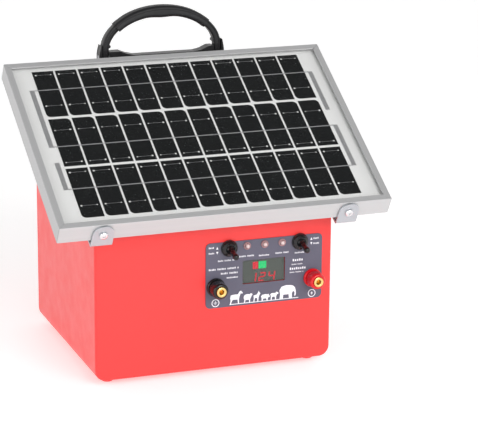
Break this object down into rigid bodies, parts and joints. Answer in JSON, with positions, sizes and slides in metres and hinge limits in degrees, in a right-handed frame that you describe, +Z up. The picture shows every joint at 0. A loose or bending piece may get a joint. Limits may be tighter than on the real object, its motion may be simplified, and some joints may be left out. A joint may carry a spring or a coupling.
{
  "type": "fence energizer",
  "caption": "Solar fence energizer: red steel box with a tilted solar panel on straps, front switches, meter and output posts, and a folding carry handle.",
  "frame": {"origin": "centre of the bounding box, on the ground under the feet", "axes": "+Z up, -Y towards the front with the controls, +X to the right seen from the front"},
  "size_m": [0.35, 0.2666, 0.3525],
  "materials": {
    "red_paint": "powder coat, semi-gloss",
    "aluminium": "anodised, satin",
    "glass": "clear tempered",
    "cells": "black cells on white backing",
    "zinc_steel": "zinc plated",
    "black_plastic": "fine texture",
    "rubber": "soft satin",
    "red_plastic": "gloss",
    "post_black": "gloss",
    "brass": "turned, polished",
    "label": "printed film, satin",
    "window": "smoked",
    "lamp": "clear, tinted",
    "battery_case": "moulded",
    "board": "solder mask",
    "copper": "enamelled winding"
  },
  "bodies": {
    "casing": {"housing": "red_paint", "top_cover": "red_paint", "rear_cover": "red_paint", "foot_front_left": "red_paint", "foot_front_right": "red_paint", "foot_rear_left": "red_paint", "foot_rear_right": "red_paint", "charging_jack": "black_plastic", "label_plate": "label", "meter_window": "window", "meter_module": "black_plastic", "frame_front": "aluminium", "frame_rear": "aluminium", "frame_left": "aluminium", "frame_right": "aluminium", "panel_glass": "glass", "cell_sheet": "cells", "junction_box": "black_plastic", "strap_left": "zinc_steel", "strap_right": "zinc_steel", "panel_screw_front_left": "zinc_steel", "panel_screw_front_right": "zinc_steel", "panel_screw_rear_left": "zinc_steel", "panel_screw_rear_right": "zinc_steel", "lead_grommet": "rubber", "handle_base": "black_plastic", "handle_pin_left": "zinc_steel", "handle_pin_right": "zinc_steel", "battery": "battery_case", "battery_tab_minus": "brass", "battery_tab_plus": "brass", "battery_clamp": "zinc_steel", "pulse_board": "board", "storage_capacitor": "battery_case", "transformer_core": "zinc_steel", "transformer_coil": "copper", "toggle_body_left": "zinc_steel", "toggle_boot_left": "rubber", "toggle_body_right": "zinc_steel", "toggle_boot_right": "rubber", "led_collar_left": "zinc_steel", "led_lamp_left": "lamp", "led_collar_middle": "zinc_steel", "led_lamp_middle": "lamp", "led_collar_right": "zinc_steel", "led_lamp_right": "lamp", "post_bush_black": "post_black", "post_stud_black": "brass", "post_bush_red": "red_plastic", "post_stud_red": "brass"},
    "handle": {"handle_arch": "black_plastic", "handle_grip": "rubber"},
    "left_toggle": {"toggle_lever_left": "rubber"},
    "right_toggle": {"toggle_lever_right": "rubber"},
    "black_washer": {"post_washer_black": "brass"},
    "black_knob": {"post_knob_black": "post_black", "post_insert_black": "brass"},
    "red_washer": {"post_washer_red": "brass"},
    "red_knob": {"post_knob_red": "red_plastic", "post_insert_red": "brass"}
  },
  "joints": [
    {"name": "handle_swing", "type": "hinge", "parent": "casing", "child": "handle", "pos_m": [0.0033, 0.09835, 0.3], "axis": [-1, 0, 0], "range_deg": [0, 90]},
    {"name": "left_toggle_tilt", "type": "hinge", "parent": "casing", "child": "left_toggle", "pos_m": [0.0144, -0.09215, 0.1348], "axis": [-1, 0, 0], "range_deg": [0, 27]},
    {"name": "right_toggle_tilt", "type": "hinge", "parent": "casing", "child": "right_toggle", "pos_m": [0.0916, -0.09215, 0.1348], "axis": [-1, 0, 0], "range_deg": [0, 27]},
    {"name": "black_washer_travel", "type": "slide", "parent": "casing", "child": "black_washer", "axis": [0, -1, 0], "range_m": [0, 0.0022]},
    {"name": "black_knob_turn", "type": "hinge", "parent": "black_washer", "child": "black_knob", "pos_m": [0.0001, -0.10065, 0.0946], "axis": [0, -1, 0], "range_deg": [0, 1080]},
    {"name": "red_washer_travel", "type": "slide", "parent": "casing", "child": "red_washer", "axis": [0, -1, 0], "range_m": [0, 0.0022]},
    {"name": "red_knob_turn", "type": "hinge", "parent": "red_washer", "child": "red_knob", "pos_m": [0.1059, -0.10065, 0.0946], "axis": [0, -1, 0], "range_deg": [0, 1080]}
  ],
  "couplings": [
    {"joint": "black_washer_travel", "follows": "black_knob_turn", "m_per_rad": 0.00011141},
    {"joint": "red_washer_travel", "follows": "red_knob_turn", "m_per_rad": 0.00011141}
  ]
}
